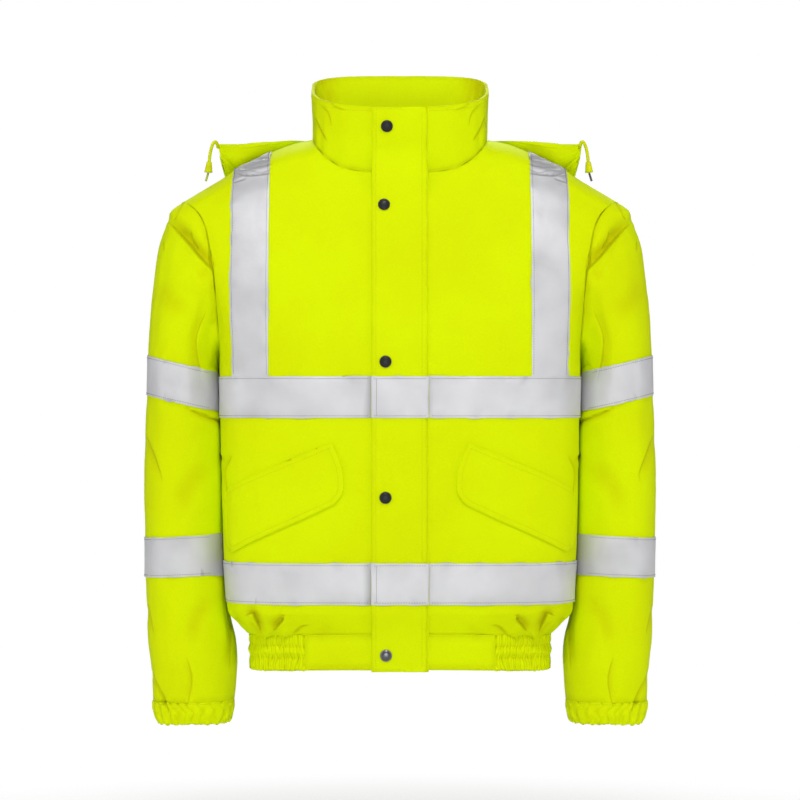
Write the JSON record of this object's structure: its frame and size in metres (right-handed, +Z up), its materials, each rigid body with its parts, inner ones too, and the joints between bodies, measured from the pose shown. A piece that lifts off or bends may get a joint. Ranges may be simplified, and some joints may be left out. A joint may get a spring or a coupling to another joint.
{
  "type": "hi-vis work jacket",
  "caption": "Fluorescent yellow bomber work jacket, worn shape, with reflective tapes, snapped storm flap, pocket flaps, elastic hem and cuffs, and a hood hanging down the back.",
  "frame": {"origin": "between the shoulders, midway between the side seams front to back, level with where the collar meets the shoulder line", "axes": "+Z up along the worn jacket; -Y is the front; +X is the wearer's left"},
  "size_m": [0.6406, 0.2887, 0.8122],
  "materials": {
    "yellow_cloth": "coated plain weave polyester, semi matt",
    "reflective_tape": "silver retroreflective tape",
    "snap_metal": "gunmetal",
    "drawcord": "braided cord",
    "cord_bell": "satin moulded",
    "cord_tip_yellow": "satin",
    "cord_tip_dark": "satin"
  },
  "bodies": {
    "root": {"back": "yellow_cloth", "brace_tape_left": "reflective_tape", "brace_tape_right": "reflective_tape", "chest_tape_back": "reflective_tape", "chest_tape_flap": "reflective_tape", "chest_tape_left": "reflective_tape", "chest_tape_right": "reflective_tape", "collar": "yellow_cloth", "cord_bell_left": "cord_bell", "cord_bell_right": "cord_bell", "cord_tip_left": "cord_tip_dark", "cord_tip_right": "cord_tip_yellow", "cuff_left": "yellow_cloth", "cuff_right": "yellow_cloth", "front_left": "yellow_cloth", "front_right": "yellow_cloth", "hem_tape_back": "reflective_tape", "hem_tape_flap": "reflective_tape", "hem_tape_left": "reflective_tape", "hem_tape_right": "reflective_tape", "hood": "yellow_cloth", "hood_cord_left": "drawcord", "hood_cord_right": "drawcord", "lower_sleeve_tape_left": "reflective_tape", "lower_sleeve_tape_right": "reflective_tape", "pocket_flap_left": "yellow_cloth", "pocket_flap_right": "yellow_cloth", "sleeve_left": "yellow_cloth", "sleeve_right": "yellow_cloth", "snap_belly": "snap_metal", "snap_chest": "snap_metal", "snap_collar": "snap_metal", "snap_hem": "snap_metal", "snap_neck": "snap_metal", "storm_flap": "yellow_cloth", "upper_sleeve_tape_left": "reflective_tape", "upper_sleeve_tape_right": "reflective_tape", "waistband_back": "yellow_cloth", "waistband_elastic_left": "yellow_cloth", "waistband_elastic_right": "yellow_cloth", "waistband_front_left": "yellow_cloth", "waistband_front_right": "yellow_cloth"}
  },
  "joints": []
}
